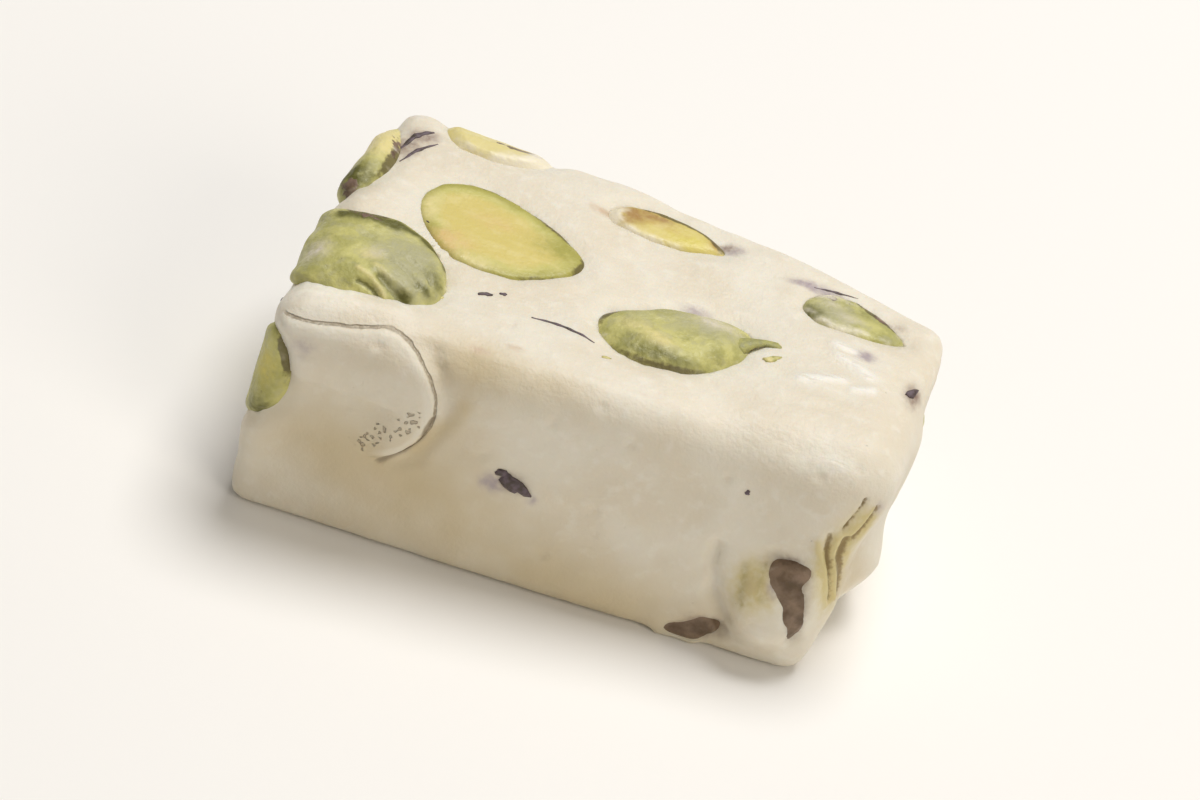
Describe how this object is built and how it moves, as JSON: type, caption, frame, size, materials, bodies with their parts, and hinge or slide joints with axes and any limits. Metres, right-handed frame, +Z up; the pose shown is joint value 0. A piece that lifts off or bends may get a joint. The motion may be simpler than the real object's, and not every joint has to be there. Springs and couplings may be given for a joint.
{
  "type": "nougat bar",
  "caption": "Hand-cut bar of pale nougat, wider at one end, with whole, halved and sliced pistachio kernels set flush in all its faces.",
  "frame": {"origin": "middle of the bounding box, on the flat face that the bar lies on", "axes": "+X along the bar towards its narrow, torn end; +Y towards its bowed back; +Z up"},
  "size_m": [0.0512, 0.031, 0.0216],
  "materials": {
    "nougat": "soft satin",
    "pistachio_cut": "satin",
    "pistachio_green": "satin",
    "pistachio_amber": "satin",
    "pistachio_skin": "matte"
  },
  "bodies": {
    "root": {"nougat": "nougat", "pistachio_top_halved": "pistachio_cut", "pistachio_top_lipped": "pistachio_green", "pistachio_top_sliver": "pistachio_amber", "pistachio_top_green": "pistachio_green", "pistachio_top_end": "pistachio_green", "pistachio_edge_left": "pistachio_green", "pistachio_edge_back": "pistachio_amber", "pistachio_corner_left": "pistachio_green", "pistachio_corner_torn": "pistachio_skin", "pistachio_front_foot": "pistachio_skin", "pistachio_back_halved": "pistachio_cut", "pistachio_back_brown": "pistachio_skin", "pistachio_back_green": "pistachio_green", "pistachio_left_round": "pistachio_cut", "pistachio_right_green": "pistachio_green", "pistachio_under_halved": "pistachio_cut", "pistachio_under_green": "pistachio_green"}
  },
  "joints": []
}
